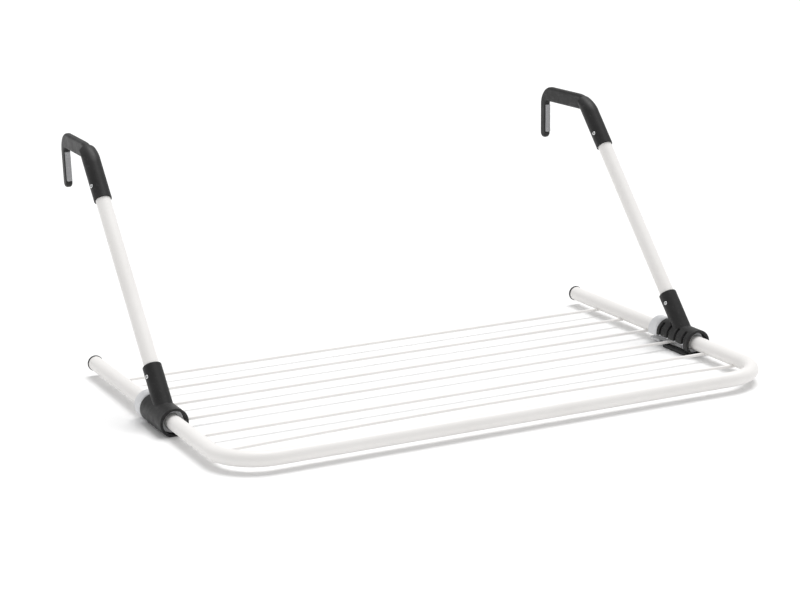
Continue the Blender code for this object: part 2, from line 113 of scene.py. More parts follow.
# %% [markdown]
# ## The camera
# A product view from the front left, a little above the rack and from nearly three metres away, with a long
# lens so that the far arm isn't much smaller than the near one. It is set before the pieces, because it
# decides how large a detail has to be to show. The camera is turned, tilted and rolled by three plain
# angles.

# %% Camera
CAMERA_SPOT = Vector((-1.1063, -2.4990, 0.7236))
camera_turn = math.radians(-25.337)
camera_tilt = math.radians(90.0 - 14.186)
camera_roll = math.radians(-1.459)

camera_data = bpy.data.cameras.new("long_lens")
camera_data.sensor_width = 36.0
camera_data.lens = 98.26
camera_data.clip_end = 60.0
camera = bpy.data.objects.new("long_lens", camera_data)
camera.matrix_world = (
    frame_place
    @ Matrix.Translation(CAMERA_SPOT)
    @ Matrix.Rotation(camera_turn, 4, "Z")
    @ Matrix.Rotation(camera_tilt, 4, "X")
    @ Matrix.Rotation(camera_roll, 4, "Z")
)
bpy.context.scene.collection.objects.link(camera)
bpy.context.scene.camera = camera
print("camera at", camera.matrix_world.translation)

# %% [markdown]
# ## Finishes: the shared beginning
# Every finish starts from a Principled shader. Its colour, roughness and bump come from noise on Object
# coordinates. The pieces all sit at the origin with their place in their mesh, so Object coordinates are
# metres in the room: a noise scale of 1000 gives grains of about a millimetre, on every piece alike. The
# helpers below make a noise, stretch its values, blend two colours by it and lay bumps on each other.

# %% Helpers for finishes
def new_finish(name, roughness):
    finish = bpy.data.materials.new(name)
    finish.use_nodes = True
    shader = finish.node_tree.nodes["Principled BSDF"]
    shader.inputs["Roughness"].default_value = roughness
    return finish, shader


def grain(finish, scale, detail=2.0, stretch=(1.0, 1.0, 1.0)):
    """Noise on Object coordinates, drawn out along an axis where stretch is below one."""
    tree = finish.node_tree
    coordinates = tree.nodes.new("ShaderNodeTexCoord")
    mapping = tree.nodes.new("ShaderNodeMapping")
    mapping.inputs["Scale"].default_value = stretch
    noise = tree.nodes.new("ShaderNodeTexNoise")
    noise.inputs["Scale"].default_value = scale
    noise.inputs["Detail"].default_value = detail
    tree.links.new(coordinates.outputs["Object"], mapping.inputs["Vector"])
    tree.links.new(mapping.outputs["Vector"], noise.inputs["Vector"])
    return noise.outputs["Fac"]


def graded(finish, value, low, high, out_low, out_high):
    """A value between low and high, stretched to run from out_low to out_high."""
    node = finish.node_tree.nodes.new("ShaderNodeMapRange")
    node.inputs["From Min"].default_value = low
    node.inputs["From Max"].default_value = high
    node.inputs["To Min"].default_value = out_low
    node.inputs["To Max"].default_value = out_high
    finish.node_tree.links.new(value, node.inputs["Value"])
    return node.outputs["Result"]


def colour_blend(finish, value, first, second):
    node = finish.node_tree.nodes.new("ShaderNodeMix")
    node.data_type = "RGBA"
    node.inputs["A"].default_value = (*first, 1.0)
    node.inputs["B"].default_value = (*second, 1.0)
    finish.node_tree.links.new(value, node.inputs["Factor"])
    return node.outputs["Result"]


def relief(finish, heights):
    """Adds bumps on top of each other. Each is (noise, strength, height in metres)."""
    tree = finish.node_tree
    normal = None
    for value, strength, distance in heights:
        bump = tree.nodes.new("ShaderNodeBump")
        bump.inputs["Strength"].default_value = strength
        bump.inputs["Distance"].default_value = distance
        tree.links.new(value, bump.inputs["Height"])
        if normal is not None:
            tree.links.new(normal, bump.inputs["Normal"])
        normal = bump.outputs["Normal"]
    tree.links.new(normal, tree.nodes["Principled BSDF"].inputs["Normal"])


def colour_node(finish, output):
    finish.node_tree.links.new(output, finish.node_tree.nodes["Principled BSDF"].inputs["Base Color"])


def roughness_node(finish, output):
    finish.node_tree.links.new(output, finish.node_tree.nodes["Principled BSDF"].inputs["Roughness"])


print("helpers ready")

# %% [markdown]
# ## Powder coat
# The steel is powder coated in a warm white. The powder melts into a skin with a fine orange peel, about a
# millimetre from crest to crest, over a slower waviness. It is satin, a little duller where hands rub it,
# and its tone drifts very slightly along the tube. Both reliefs are bump, since they are far thinner than
# the coat itself.

# %% Powder coat
def powder_coat_finish():
    finish, shader = new_finish("warm_white_powder_coat", 0.4)
    tone = graded(finish, grain(finish, 11.0, 3.0), 0.35, 0.65, 0.0, 1.0)
    colour_node(finish, colour_blend(finish, tone, (0.830, 0.812, 0.794), (0.862, 0.846, 0.830)))
    roughness_node(finish, graded(finish, grain(finish, 55.0, 4.0), 0.3, 0.7, 0.34, 0.47))
    peel = grain(finish, 950.0, 2.0)
    wave = grain(finish, 260.0, 1.0)
    relief(finish, [(wave, 0.10, 0.0006), (peel, 0.16, 0.00018)])
    shader.inputs["IOR"].default_value = 1.5
    return finish


powder_coat = powder_coat_finish()
print("made", powder_coat.name)

# %% [markdown]
# ## Dark moulded plastic
# Hooks and sleeves are glass filled nylon, moulded in a tool with a spark eroded face. That leaves a fine,
# even grain under half a millimetre, and a satin sheen. The colour is a neutral charcoal with cloudy flow
# marks. Long thin scuffs, lighter and duller, run where the rack is pushed along a rail, so their noise is
# drawn out.

# %% Dark plastic
def dark_plastic_finish():
    finish, shader = new_finish("charcoal_nylon", 0.5)
    clouds = graded(finish, grain(finish, 60.0, 4.0), 0.3, 0.7, 0.0, 1.0)
    base = colour_blend(finish, clouds, (0.013, 0.0128, 0.013), (0.020, 0.0197, 0.020))
    scuffs = graded(finish, grain(finish, 420.0, 5.0, (1.0, 0.12, 1.0)), 0.60, 0.78, 0.0, 0.55)
    tree = finish.node_tree
    worn = tree.nodes.new("ShaderNodeMix")
    worn.data_type = "RGBA"
    worn.inputs["B"].default_value = (0.058, 0.057, 0.057, 1.0)
    tree.links.new(scuffs, worn.inputs["Factor"])
    tree.links.new(base, worn.inputs["A"])
    colour_node(finish, worn.outputs["Result"])
    roughness_node(finish, graded(finish, grain(finish, 130.0, 4.0), 0.3, 0.7, 0.40, 0.54))
    relief(finish, [(grain(finish, 300.0, 2.0), 0.08, 0.0004), (grain(finish, 2600.0, 2.0), 0.35, 0.00012)])
    shader.inputs["Specular IOR Level"].default_value = 0.28
    return finish


dark_plastic = dark_plastic_finish()
print("made", dark_plastic.name)

# %% [markdown]
# ## Light plastic, cap plastic and pad rubber
# The bush is unfilled acetal in a light grey, smoother than the dark parts and slightly see-through at the
# skin, which a little subsurface light gives. The end caps are soft black polyethylene. The pads are a
# matte rubber, and dust settles in their grain as paler specks.

# %% Other plastics and rubber
def light_plastic_finish():
    finish, shader = new_finish("pale_grey_acetal", 0.42)
    drift = graded(finish, grain(finish, 90.0, 3.0), 0.3, 0.7, 0.0, 1.0)
    colour_node(finish, colour_blend(finish, drift, (0.66, 0.665, 0.68), (0.74, 0.745, 0.76)))
    roughness_node(finish, graded(finish, grain(finish, 160.0, 3.0), 0.3, 0.7, 0.36, 0.50))
    relief(finish, [(grain(finish, 1800.0, 2.0), 0.15, 0.0001)])
    shader.inputs["Subsurface Weight"].default_value = 0.06
    shader.inputs["Subsurface Radius"].default_value = (0.002, 0.002, 0.002)
    return finish


def cap_plastic_finish():
    finish, shader = new_finish("black_polyethylene", 0.42)
    drift = graded(finish, grain(finish, 120.0, 3.0), 0.3, 0.7, 0.0, 1.0)
    colour_node(finish, colour_blend(finish, drift, (0.016, 0.016, 0.017), (0.026, 0.026, 0.027)))
    roughness_node(finish, graded(finish, grain(finish, 240.0, 3.0), 0.3, 0.7, 0.35, 0.5))
    relief(finish, [(grain(finish, 2000.0, 2.0), 0.2, 0.0001)])
    shader.inputs["IOR"].default_value = 1.51
    return finish


def pad_rubber_finish():
    finish, shader = new_finish("grey_pad_rubber", 0.75)
    dust = graded(finish, grain(finish, 900.0, 4.0), 0.52, 0.72, 0.0, 1.0)
    colour_node(finish, colour_blend(finish, dust, (0.33, 0.33, 0.34), (0.43, 0.43, 0.435)))
    roughness_node(finish, graded(finish, grain(finish, 300.0, 3.0), 0.3, 0.7, 0.66, 0.85))
    relief(finish, [(grain(finish, 1500.0, 3.0), 0.4, 0.00015)])
    shader.inputs["Specular IOR Level"].default_value = 0.35
    return finish


light_plastic = light_plastic_finish()
cap_plastic = cap_plastic_finish()
pad_rubber = pad_rubber_finish()
print("made", light_plastic.name, cap_plastic.name, pad_rubber.name)

# %% [markdown]
# ## Plated rivets
# The rivets are zinc plated steel, pressed over by a tool that leaves faint round scratches. At this size a
# fine noise in the roughness and a slight one in the colour stand for both.

# %% Rivet steel
def rivet_steel_finish():
    finish, shader = new_finish("zinc_plated_steel", 0.3)
    drift = graded(finish, grain(finish, 700.0, 3.0), 0.3, 0.7, 0.0, 1.0)
    colour_node(finish, colour_blend(finish, drift, (0.66, 0.67, 0.68), (0.80, 0.80, 0.80)))
    roughness_node(finish, graded(finish, grain(finish, 1500.0, 3.0), 0.3, 0.7, 0.24, 0.40))
    relief(finish, [(grain(finish, 3000.0, 2.0), 0.12, 0.00008)])
    shader.inputs["Metallic"].default_value = 1.0
    return finish


rivet_steel = rivet_steel_finish()
print("made", rivet_steel.name)

# %% [markdown]
# ## From a mesh to a finished piece
# A piece gets smooth shading with its real corners kept sharp, one finish and the body that it rides on,
# and the solid that it stands for is hidden. The Weighted Normal modifier makes flat faces look flat beside
# their small rounded edges.

# %% Piece helpers
def mesh_of(name, bm, place):
    """Turns a bmesh into a mesh with its place in its points."""
    bmesh.ops.remove_doubles(bm, verts=bm.verts, dist=0.000001)
    bmesh.ops.recalc_face_normals(bm, faces=bm.faces)
    bmesh.ops.transform(bm, matrix=place, verts=bm.verts)
    mesh = bpy.data.meshes.new(name)
    bm.to_mesh(mesh)
    bm.free()
    return mesh


def finished(name, mesh, finish, body, node, corner=34.0):
    mesh.materials.clear()
    mesh.materials.append(finish)
    mesh.shade_smooth()
    mesh.set_sharp_from_angle(angle=math.radians(corner))
    piece = bpy.data.objects.new(name, mesh)
    bpy.context.scene.collection.objects.link(piece)
    even = piece.modifiers.new("even_shading", "WEIGHTED_NORMAL")
    even.keep_sharp = True
    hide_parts(node)
    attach(piece, body)
    mesh.calc_loop_triangles()
    print(name, len(mesh.loop_triangles), "triangles, stands for", node)
    return piece


# %% [markdown]
# ## The bent tube
# One steel tube, 18 mm across with a 1 mm wall, is bent twice on a former to make the front bar and both
# sides. The mesh follows the same work: a circle is drawn along the left side, swung round the middle of
# the first bend, drawn along the front, swung round the second bend and drawn back. The inside wall is a
# second, thinner pass, and both are bridged at the open ends. A curve with a bevel would give the same skin
# but not the wall.

# %% Bent tube
TUBE_RADIUS = 9.0 * MILLIMETRE
TUBE_WALL = 1.0 * MILLIMETRE
FRAME_DEPTH = 0.454
BEND_RADIUS = 0.054
BEND_STEPS = 28
TUBE_FACETS = 64
CAP_THICKNESS = 3.0 * MILLIMETRE
UPRIGHT = (0.0, 0.0, 1.0)


def circle_of_edges(bm, radius, place):
    circle = bmesh.ops.create_circle(bm, cap_ends=False, segments=TUBE_FACETS, radius=radius, matrix=place)
    return list({edge for vert in circle["verts"] for edge in vert.link_edges})


def drawn_along(bm, rim, travel):
    """Draws a rim of edges out along a line and returns the new rim."""
    made = bmesh.ops.extrude_edge_only(bm, edges=rim)["geom"]
    points = [item for item in made if isinstance(item, bmesh.types.BMVert)]
    bmesh.ops.translate(bm, vec=travel, verts=points)
    ends = set(points)
    return [e for e in made if isinstance(e, bmesh.types.BMEdge) and set(e.verts) <= ends]


def swung_round(bm, rim, centre, axis, angle, steps):
    """Swings a rim of edges about an axis through this centre and returns the last rim."""
    points = list({vert for edge in rim for vert in edge.verts})
    made = bmesh.ops.spin(
        bm, geom=points + rim, cent=centre, axis=axis, angle=angle, steps=steps, use_duplicate=False
    )
    return [item for item in made["geom_last"] if isinstance(item, bmesh.types.BMEdge)]


def tube_pass(bm, radius):
    """One skin of the bent tube. Returns its first and last rims."""
    back = -CAP_THICKNESS - GAP
    straight = FRAME_DEPTH - BEND_RADIUS + back
    bend_y = -FRAME_DEPTH + BEND_RADIUS
    bend_x = HALF_SPACING - BEND_RADIUS
    quarter = math.radians(90.0)
    start = Matrix.Translation((-HALF_SPACING, back, 0.0)) @ Matrix.Rotation(quarter, 4, "X")
    first = circle_of_edges(bm, radius, start)
    rim = drawn_along(bm, first, Vector((0.0, -straight, 0.0)))
    rim = swung_round(bm, rim, (-bend_x, bend_y, 0.0), UPRIGHT, quarter, BEND_STEPS)
    rim = drawn_along(bm, rim, Vector((2.0 * bend_x, 0.0, 0.0)))
    rim = swung_round(bm, rim, (bend_x, bend_y, 0.0), UPRIGHT, quarter, BEND_STEPS)
    last = drawn_along(bm, rim, Vector((0.0, straight, 0.0)))
    return first, last


def bent_tube():
    bm = bmesh.new()
    outer_first, outer_last = tube_pass(bm, TUBE_RADIUS)
    inner_first, inner_last = tube_pass(bm, TUBE_RADIUS - TUBE_WALL)
    bmesh.ops.bridge_loops(bm, edges=outer_first + inner_first)
    bmesh.ops.bridge_loops(bm, edges=outer_last + inner_last)
    mesh = mesh_of("bent_tube", bm, frame_place)
    return finished("bent_tube", mesh, powder_coat, "frame", "frame_tube")


bent_tube()

# %% [markdown]
# ## Turned pieces
# Wires, caps, rivets and tubes are round, so each is half an outline spun once round the Z axis, as a lathe
# would cut it. A ring outline closes on itself, and a plain one leaves two small holes at the axis, which
# are filled.

# %% Turned outlines
def turned(outline, facets=TUBE_FACETS, ring=False):
    """Spins (radius, height) points once round the Z axis."""
    bm = bmesh.new()
    points = [bm.verts.new((radius, 0.0, height)) for radius, height in outline]
    edges = [bm.edges.new(pair) for pair in zip(points, points[1:])]
    if ring:
        edges.append(bm.edges.new((points[-1], points[0])))
    bmesh.ops.spin(
        bm,
        geom=points + edges,
        cent=(0.0, 0.0, 0.0),
        axis=UPRIGHT,
        angle=2.0 * math.pi,
        steps=facets,
        use_merge=True,
    )
    bmesh.ops.holes_fill(bm, edges=[edge for edge in bm.edges if edge.is_boundary])
    bmesh.ops.recalc_face_normals(bm, faces=bm.faces)
    return bm


def moved(bm, matrix):
    bmesh.ops.transform(bm, matrix=matrix, verts=bm.verts)
    return bm


def corner_arc(centre, radius, start, end, steps):
    """Points on an arc, in degrees from the first axis towards the second."""
    spots = []
    for i in range(steps + 1):
        angle = math.radians(start + (end - start) * i / steps)
        spots.append((centre[0] + radius * math.cos(angle), centre[1] + radius * math.sin(angle)))
    return spots


def rounded_rim(radius, start, rounding, steps):
    """The rounded corner between a flat end at this height and a wall of this radius."""
    corner = corner_arc((0.0, 0.0), rounding, 0.0, 90.0, steps)
    return [(radius - rounding + x, start + rounding - y) for y, x in corner]


# %% [markdown]
# ## The drying wires
# Six 3.8 mm wires run from side to side, a little below the tubes' middle. Each end is welded into the
# inner wall, and the coat flows over the weld, so the wire swells into a small bead there. The front wire
# bows upwards by 4 mm, and is spun straight first and then lifted in its middle.

# %% Drying wires
WIRE_RADIUS = 1.9 * MILLIMETRE
WIRE_DROP = 6.3 * MILLIMETRE
WIRE_REACH = 0.3358
FIRST_WIRE = 0.072
WIRE_SPAN = 0.3175
WIRE_SHARES = (0.0, 0.19, 0.392, 0.586, 0.803, 1.0)
FRONT_WIRE_BOW = 4.0 * MILLIMETRE
WIRE_PIECES = 24
WIRE_FACETS = 24
# Distance from the wire's end, and radius there, in millimetres.
BEAD_SHAPE = (
    (0.0, 1.70), (0.5, 1.98), (1.1, 2.12), (1.7, 2.18),
    (2.3, 2.13), (2.9, 2.03), (3.6, 1.95), (4.8, 1.90),
)


def wire_outline():
    """From the middle of one end, over its weld bead, along the wire and over the other bead."""
    left = [(radius * MILLIMETRE, -WIRE_REACH + inset * MILLIMETRE) for inset, radius in BEAD_SHAPE]
    reach = left[-1][1]
    middle = [(WIRE_RADIUS, reach * (1.0 - 2.0 * i / WIRE_PIECES)) for i in range(1, WIRE_PIECES)]
    right = [(radius, -height) for radius, height in reversed(left)]
    return left + middle + right


def drying_wire(number, share, bow):
    bm = moved(turned(wire_outline(), WIRE_FACETS), Matrix.Rotation(math.radians(90.0), 4, "Y"))
    for vert in bm.verts:
        vert.co.z += bow * (1.0 - (vert.co.x / WIRE_REACH) ** 2)
    spot = Matrix.Translation((0.0, -(FIRST_WIRE + WIRE_SPAN * share), -WIRE_DROP))
    name = "drying_wire_" + str(number)
    mesh = mesh_of(name, bm, frame_place @ spot)
    return finished(name, mesh, powder_coat, "frame", "wire_" + str(number))


for number, share in enumerate(WIRE_SHARES, 1):
    drying_wire(number, share, FRONT_WIRE_BOW if number == len(WIRE_SHARES) else 0.0)

# %% [markdown]
# ## End caps
# A push-in cap closes each open end at the back. What shows is a thin, softly rounded black rim, a little
# wider than the tube. Its face is slightly dished with a raised edge, which moulders use so that the face
# doesn't sink.

# %% End caps
CAP_RIM_RADIUS = 9.8 * MILLIMETRE
CAP_SPIGOT_LENGTH = 14.0 * MILLIMETRE
CAP_ROUNDING = 1.0 * MILLIMETRE
CAP_CHAMFER = 0.3 * MILLIMETRE
DISH_DEPTH = 0.35 * MILLIMETRE
LEAD_IN = 1.0 * MILLIMETRE


def end_cap_outline():
    spigot = TUBE_RADIUS - TUBE_WALL - GAP
    length = CAP_THICKNESS + CAP_SPIGOT_LENGTH
    dish = [(0.0, DISH_DEPTH), (6.6 * MILLIMETRE, DISH_DEPTH), (7.4 * MILLIMETRE, 0.12 * MILLIMETRE)]
    outer = rounded_rim(CAP_RIM_RADIUS, 0.0, CAP_ROUNDING, 6)
    rim = [(CAP_RIM_RADIUS, CAP_THICKNESS - CAP_CHAMFER), (CAP_RIM_RADIUS - CAP_CHAMFER, CAP_THICKNESS)]
    inside = [(spigot, CAP_THICKNESS), (spigot, length - LEAD_IN), (spigot - LEAD_IN, length), (0.0, length)]
    return dish + outer + rim + inside


def end_cap(side):
    bm = turned(end_cap_outline())
    tube_end = Matrix.Translation((SIDES[side] * HALF_SPACING, 0.0, 0.0))
    facing_back = Matrix.Rotation(math.pi / 2, 4, "X")
    name = "end_plug_" + side
    mesh = mesh_of(name, bm, frame_place @ tube_end @ facing_back)
    return finished(name, mesh, cap_plastic, "frame", "end_cap_" + side)


for side in SIDES:
    end_cap(side)

# %% [markdown]
# ## Carving with Booleans
# The bush, the sleeve and the hook have slots and sockets that cross round walls at an angle. A mould maker
# cuts those shapes into each other, and Boolean modifiers do the same. The helper stacks them on a scratch
# object, adds a thin Bevel on the corners that they leave, keeps the finished mesh and clears the scratch
# objects away.

# %% Carving helpers
CUT_MARGIN = 0.01
CUT_HALF_WIDTH = 0.04


def scratch(bm):
    bmesh.ops.recalc_face_normals(bm, faces=bm.faces)
    mesh = bpy.data.meshes.new("scratch")
    bm.to_mesh(mesh)
    bm.free()
    holder = bpy.data.objects.new("scratch", mesh)
    bpy.context.scene.collection.objects.link(holder)
    return holder


def carved(name, base, steps, corner_width=0.0):
    """base is a bmesh, and steps are (operation, bmesh or scratch object) in order."""
    body = base if isinstance(base, bpy.types.Object) else scratch(base)
    used = [body]
    for operation, tool in steps:
        cutter = tool if isinstance(tool, bpy.types.Object) else scratch(tool)
        cutter.hide_render = True
        used.append(cutter)
        modifier = body.modifiers.new(operation, "BOOLEAN")
        modifier.operation = operation
        modifier.solver = "EXACT"
        modifier.object = cutter
    if corner_width:
        weld = body.modifiers.new("weld", "WELD")
        weld.merge_threshold = 0.00002
        bevel = body.modifiers.new("corners", "BEVEL")
        bevel.width = corner_width
        bevel.segments = 2
        bevel.profile = 0.5
        bevel.limit_method = "ANGLE"
        bevel.angle_limit = math.radians(38.0)
        bevel.use_clamp_overlap = True
    bpy.context.view_layer.update()
    graph = bpy.context.evaluated_depsgraph_get()
    mesh = bpy.data.meshes.new_from_object(body.evaluated_get(graph))
    mesh.name = name
    for holder in used:
        bpy.data.objects.remove(holder, do_unlink=True)
    return mesh


def block(low, high):
    bm = bmesh.new()
    middle = [(a + b) / 2 for a, b in zip(low, high)]
    size = [b - a for a, b in zip(low, high)]
    bmesh.ops.create_cube(bm, size=1.0, matrix=Matrix.Translation(middle) @ Matrix.Diagonal((*size, 1.0)))
    return bm


def rounded_edges(bm, edges, width, segments):
    bmesh.ops.bevel(bm, geom=edges, offset=width, segments=segments, profile=0.5, affect="EDGES", material=-1)
    return bm


def below_the_feet(front, back):
    """A block of all that would reach below the level that the rack stands on."""
    low = (-CUT_HALF_WIDTH, front - CUT_MARGIN, -CUT_HALF_WIDTH)
    return block(low, (CUT_HALF_WIDTH, back + CUT_MARGIN, -AXIS_HEIGHT))


def bar(radius, low, high, matrix, facets=TUBE_FACETS):
    return moved(turned([(radius, low), (radius, high)], facets), matrix)


def facing_front(start):
    """Turns the Z axis to run forwards along the side tube, from y = start."""
    return Matrix.Translation((0.0, start, 0.0)) @ Matrix.Rotation(math.pi / 2, 4, "X")


# %% [markdown]
# ## The bush
# A light grey bush lines each sleeve and slides on the side tube. Its collar shows behind the sleeve, and
# its body shows through the sleeve's window. A slit along its inner side lets it pass the welded wires, and
# its underside is flat where the rack stands on it.

# %% Bushes
BUSH_RADIUS = 13.5 * MILLIMETRE
SLEEVE_RADIUS = 17.0 * MILLIMETRE
SLEEVE_LENGTH = 70.0 * MILLIMETRE
MOUTH_RECESS = 9.0 * MILLIMETRE
BUSH_SLIT = 4.8 * MILLIMETRE
COLLAR_ROUNDING = 2.0 * MILLIMETRE
GROOVE_DEPTH = 0.5 * MILLIMETRE
BUSH_CHAMFER = 0.6 * MILLIMETRE


def bush_outline(length):
    """Bore, rounded collar with a fine groove round it, body and chamfered mouth."""
    bore = TUBE_RADIUS + GAP
    waist = SLEEVE_RADIUS - GROOVE_DEPTH
    groove = COLLAR_LENGTH - 3.0 * MILLIMETRE
    near = [(bore, GROOVE_DEPTH), (bore + GROOVE_DEPTH, 0.0)]
    near += rounded_rim(SLEEVE_RADIUS, 0.0, COLLAR_ROUNDING, 8)
    step = [(SLEEVE_RADIUS, groove - 0.4 * MILLIMETRE), (waist, groove), (waist, groove + BUSH_CHAMFER)]
    far = [(SLEEVE_RADIUS, groove + LEAD_IN), (SLEEVE_RADIUS, COLLAR_LENGTH - LEAD_IN)]
    far.append((SLEEVE_RADIUS - LEAD_IN, COLLAR_LENGTH))
    body = [(BUSH_RADIUS, COLLAR_LENGTH), (BUSH_RADIUS, length - BUSH_CHAMFER)]
    body.append((BUSH_RADIUS - BUSH_CHAMFER, length))
    mouth = [(bore + BUSH_CHAMFER, length), (bore, length - BUSH_CHAMFER)]
    return near + step + far + body + mouth


def bush(side):
    back = SLEEVE_BACK + GAP + COLLAR_LENGTH
    front = SLEEVE_BACK - SLEEVE_LENGTH + MOUTH_RECESS
    base = moved(turned(bush_outline(back - front), ring=True), facing_front(back))
    inner = sorted((-SIDES[side] * 0.001, -SIDES[side] * 2.0 * SLEEVE_RADIUS))
    slit_low = (inner[0], front - CUT_MARGIN, -WIRE_DROP - BUSH_SLIT / 2)
    slit_high = (inner[1], back + CUT_MARGIN, -WIRE_DROP + BUSH_SLIT / 2)
    steps = [("DIFFERENCE", block(slit_low, slit_high)), ("DIFFERENCE", below_the_feet(front, back))]
    name = "grey_bush_" + side
    mesh = carved(name, base, steps, 0.3 * MILLIMETRE)
    mesh.transform(hinge_place(side))
    return finished(name, mesh, light_plastic, "slider_" + side, "bush_" + side)


for side in SIDES:
    bush(side)

# %% [markdown]
# ## The tee sleeve
# The sleeve is the heart of the rack: a thick ring round the bush, a leaning socket for the arm, a flat
# foot that the rack stands on, and on its inner side four slots over an open window. Folding the arm turns
# the sleeve, and a wire slips into one of the slots, which locks the arm's place along the tube. The ring
# is turned solid, the socket and foot are joined on, and only then is it bored, so no two cuts share a
# surface. The slots are wedges that reach from the axis through the wall, as a cutter would plunge in. Past
# the wall, a wedge's upper side comes out level when the arm is folded, so that the socket's flank clears
# the wire.

# %% Tee sleeve sizes
SOCKET_RADIUS = 11.2 * MILLIMETRE
SOCKET_TOP = 66.0 * MILLIMETRE
SOCKET_FLOOR = 30.0 * MILLIMETRE
SLOT_COUNT = 4
SLOT_PITCH = 17.0 * MILLIMETRE
SLOT_WIDTH = 4.6 * MILLIMETRE
BACK_FINGER = 8.2 * MILLIMETRE
SLOT_TOP_ANGLE = 57.5
SLOT_OVERRUN = 4.5 * MILLIMETRE
FOLD_END = 70.0
WINDOW_TOP_ANGLE = -5.0
FOOT_WIDTH = 15.5 * MILLIMETRE
FOOT_HEIGHT = 4.0 * MILLIMETRE
RIVET_HOLE = 1.7 * MILLIMETRE
RIVET_HOLE_REACH = 20.0 * MILLIMETRE
LOWER_RIVET = 51.5 * MILLIMETRE
UPPER_RIVET = 308.5 * MILLIMETRE


def slot_middle(number):
    return SLEEVE_BACK - BACK_FINGER - number * SLOT_PITCH


def outline_along_y(outline, low, high):
    """A closed outline of (x, z) points drawn out along Y."""
    bm = bmesh.new()
    face = bm.faces.new([bm.verts.new((x, low, z)) for x, z in outline])
    made = bmesh.ops.extrude_face_region(bm, geom=[face])["geom"]
    points = [item for item in made if isinstance(item, bmesh.types.BMVert)]
    bmesh.ops.translate(bm, vec=(0.0, high - low, 0.0), verts=points)
    return bm


def across_the_arm(distance):
    """Turns the Z axis to run from side to side, at this distance up the arm."""
    return Matrix.Translation(point_on_arm(distance)) @ Matrix.Rotation(math.pi / 2, 4, "Y")


def rivet_hole(way):
    return bar(RIVET_HOLE, -RIVET_HOLE_REACH, RIVET_HOLE_REACH, way, 24)


# %% Tee sleeve shapes
def sleeve_ring():
    near = rounded_rim(SLEEVE_RADIUS, 0.0, 0.9 * MILLIMETRE, 4)
    far = [(radius, SLEEVE_LENGTH - height) for radius, height in reversed(near)]
    return moved(turned(near + far), facing_front(SLEEVE_BACK))


def sleeve_socket(side):
    rounding = 0.8 * MILLIMETRE
    rim = [
        (SOCKET_RADIUS - rounding + y, SOCKET_TOP - rounding + x)
        for x, y in corner_arc((0.0, 0.0), rounding, 90.0, 0.0, 4)
    ]
    outline = [(SOCKET_RADIUS, 2.0 * MILLIMETRE)] + rim
    return moved(turned(outline), inward_lean(side) @ up_the_arm())


def sleeve_foot(side):
    inner = sorted((0.0, -SIDES[side] * FOOT_WIDTH))
    front = SLEEVE_BACK - SLEEVE_LENGTH + 0.5 * MILLIMETRE
    back = slot_middle(0) - SLOT_WIDTH
    foot = block((inner[0], front, -AXIS_HEIGHT), (inner[1], back, -AXIS_HEIGHT + FOOT_HEIGHT))
    return rounded_edges(foot, foot.edges[:], 0.8 * MILLIMETRE, 3)


def slot_wedge(side, number):
    """One slot's cutter: from the axis out past the wall, and round from the window to the slot's top."""
    reach = SLEEVE_RADIUS + SLOT_OVERRUN
    top = math.radians(SLOT_TOP_ANGLE)
    wall_top = (SLEEVE_RADIUS * math.cos(top), SLEEVE_RADIUS * math.sin(top))
    level_when_folded = math.sin(math.radians(FOLD_END - SLOT_TOP_ANGLE)) * SLEEVE_RADIUS / reach
    rim_end = FOLD_END - math.degrees(math.asin(level_when_folded))
    rim = corner_arc((0.0, 0.0), reach, WINDOW_TOP_ANGLE - 10.0, rim_end, 24)
    outline = [(0.0, 0.0)] + [(-SIDES[side] * x, z) for x, z in rim + [wall_top]]
    middle = slot_middle(number)
    return outline_along_y(outline, middle - SLOT_WIDTH / 2, middle + SLOT_WIDTH / 2)


def sleeve_window(side):
    slope = math.tan(math.radians(WINDOW_TOP_ANGLE))
    start = 4.0 * MILLIMETRE
    reach = SLEEVE_RADIUS + 2.0 * SLOT_OVERRUN
    sill = -AXIS_HEIGHT + FOOT_HEIGHT
    outline = [(start, start * slope), (reach, reach * slope), (reach, sill), (start, sill)]
    front = slot_middle(SLOT_COUNT - 1) - SLOT_WIDTH / 2 + GAP
    back = SLEEVE_BACK + 5.0 * MILLIMETRE
    return outline_along_y([(-SIDES[side] * x, z) for x, z in outline], front, back)


def tee_sleeve(side):
    lean = inward_lean(side)
    bore = bar(BUSH_RADIUS + GAP, -CUT_MARGIN, SLEEVE_LENGTH + CUT_MARGIN, facing_front(SLEEVE_BACK))
    well = bar(TUBE_RADIUS + GAP, SOCKET_FLOOR, SOCKET_TOP + CUT_MARGIN, lean @ up_the_arm())
    cuts = [below_the_feet(SLEEVE_BACK - SLEEVE_LENGTH, SLEEVE_BACK), bore, well]
    cuts += [slot_wedge(side, number) for number in range(SLOT_COUNT)]
    cuts += [sleeve_window(side), rivet_hole(lean @ rivet_turn() @ across_the_arm(LOWER_RIVET))]
    steps = [("UNION", sleeve_socket(side)), ("UNION", sleeve_foot(side))]
    steps += [("DIFFERENCE", cut) for cut in cuts]
    name = "arm_sleeve_" + side
    mesh = carved(name, sleeve_ring(), steps, 0.35 * MILLIMETRE)
    mesh.transform(hinge_place(side))
    return finished(name, mesh, dark_plastic, "arm_" + side, "tee_sleeve_" + side)


for side in SIDES:
    tee_sleeve(side)

# %% [markdown]
# ## The arm tubes
# The arm is a straight piece of the same 18 mm tube, held in the sleeve's socket below and the hook's
# socket above. Its cut ends are hidden, so it is a plain turned ring with its inner wall.

# %% Arm tubes
HOOK_SOCKET_FLOOR = 0.326


